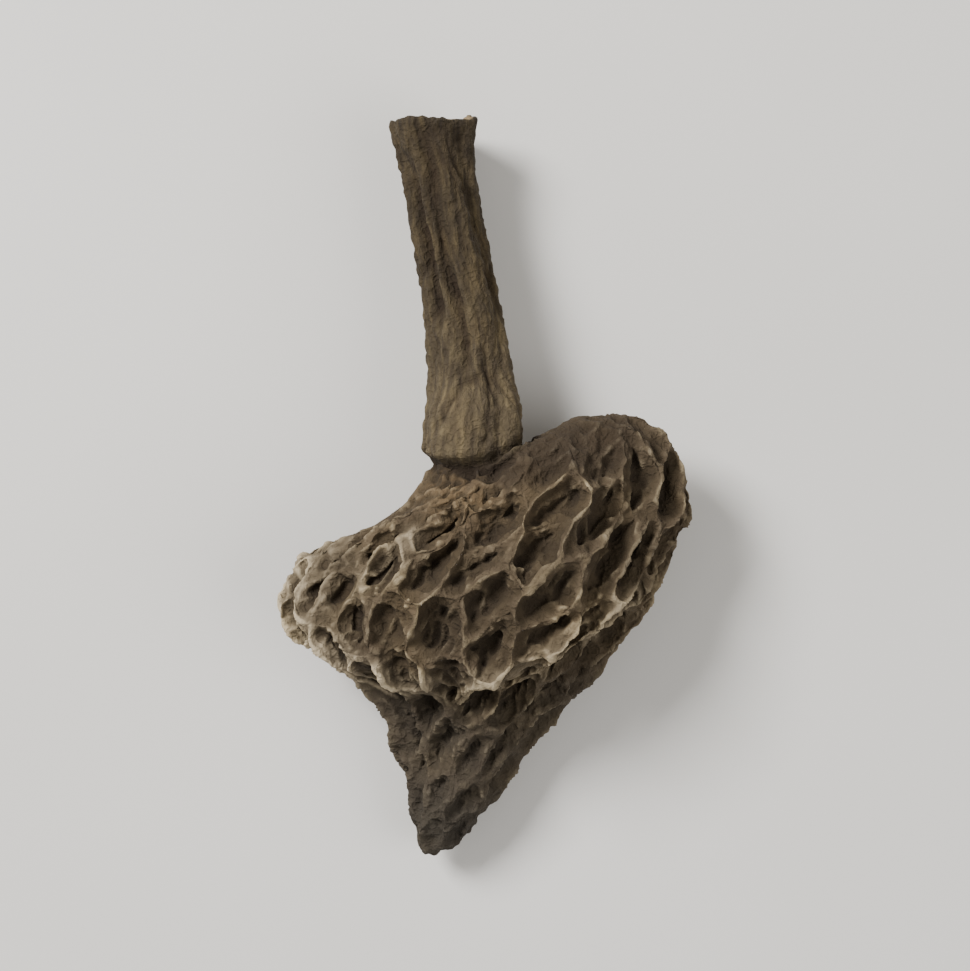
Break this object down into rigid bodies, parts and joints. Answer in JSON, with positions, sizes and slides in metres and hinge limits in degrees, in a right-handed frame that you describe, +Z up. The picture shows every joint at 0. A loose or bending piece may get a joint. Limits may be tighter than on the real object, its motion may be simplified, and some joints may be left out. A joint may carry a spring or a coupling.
{
  "type": "dried morel mushroom",
  "caption": "Dried whole morel: a folded, honeycomb-pitted hollow cap that narrows to a tip, on a furrowed hollow stem cut off at its end, lying on its flat side.",
  "frame": {"origin": "centre of the bounding box, on the surface that the morel lies on", "axes": "+Y from the cap's tip to the stem's cut end, +Z up from the flat side that it lies on, +X towards the cap's higher shoulder"},
  "size_m": [0.0322, 0.0588, 0.0139],
  "materials": {
    "dried_flesh": "matte, dry and wrinkled: brown pits, paler thin ridges and a tan stem"
  },
  "bodies": {
    "root": {"morel": "dried_flesh"}
  },
  "joints": []
}
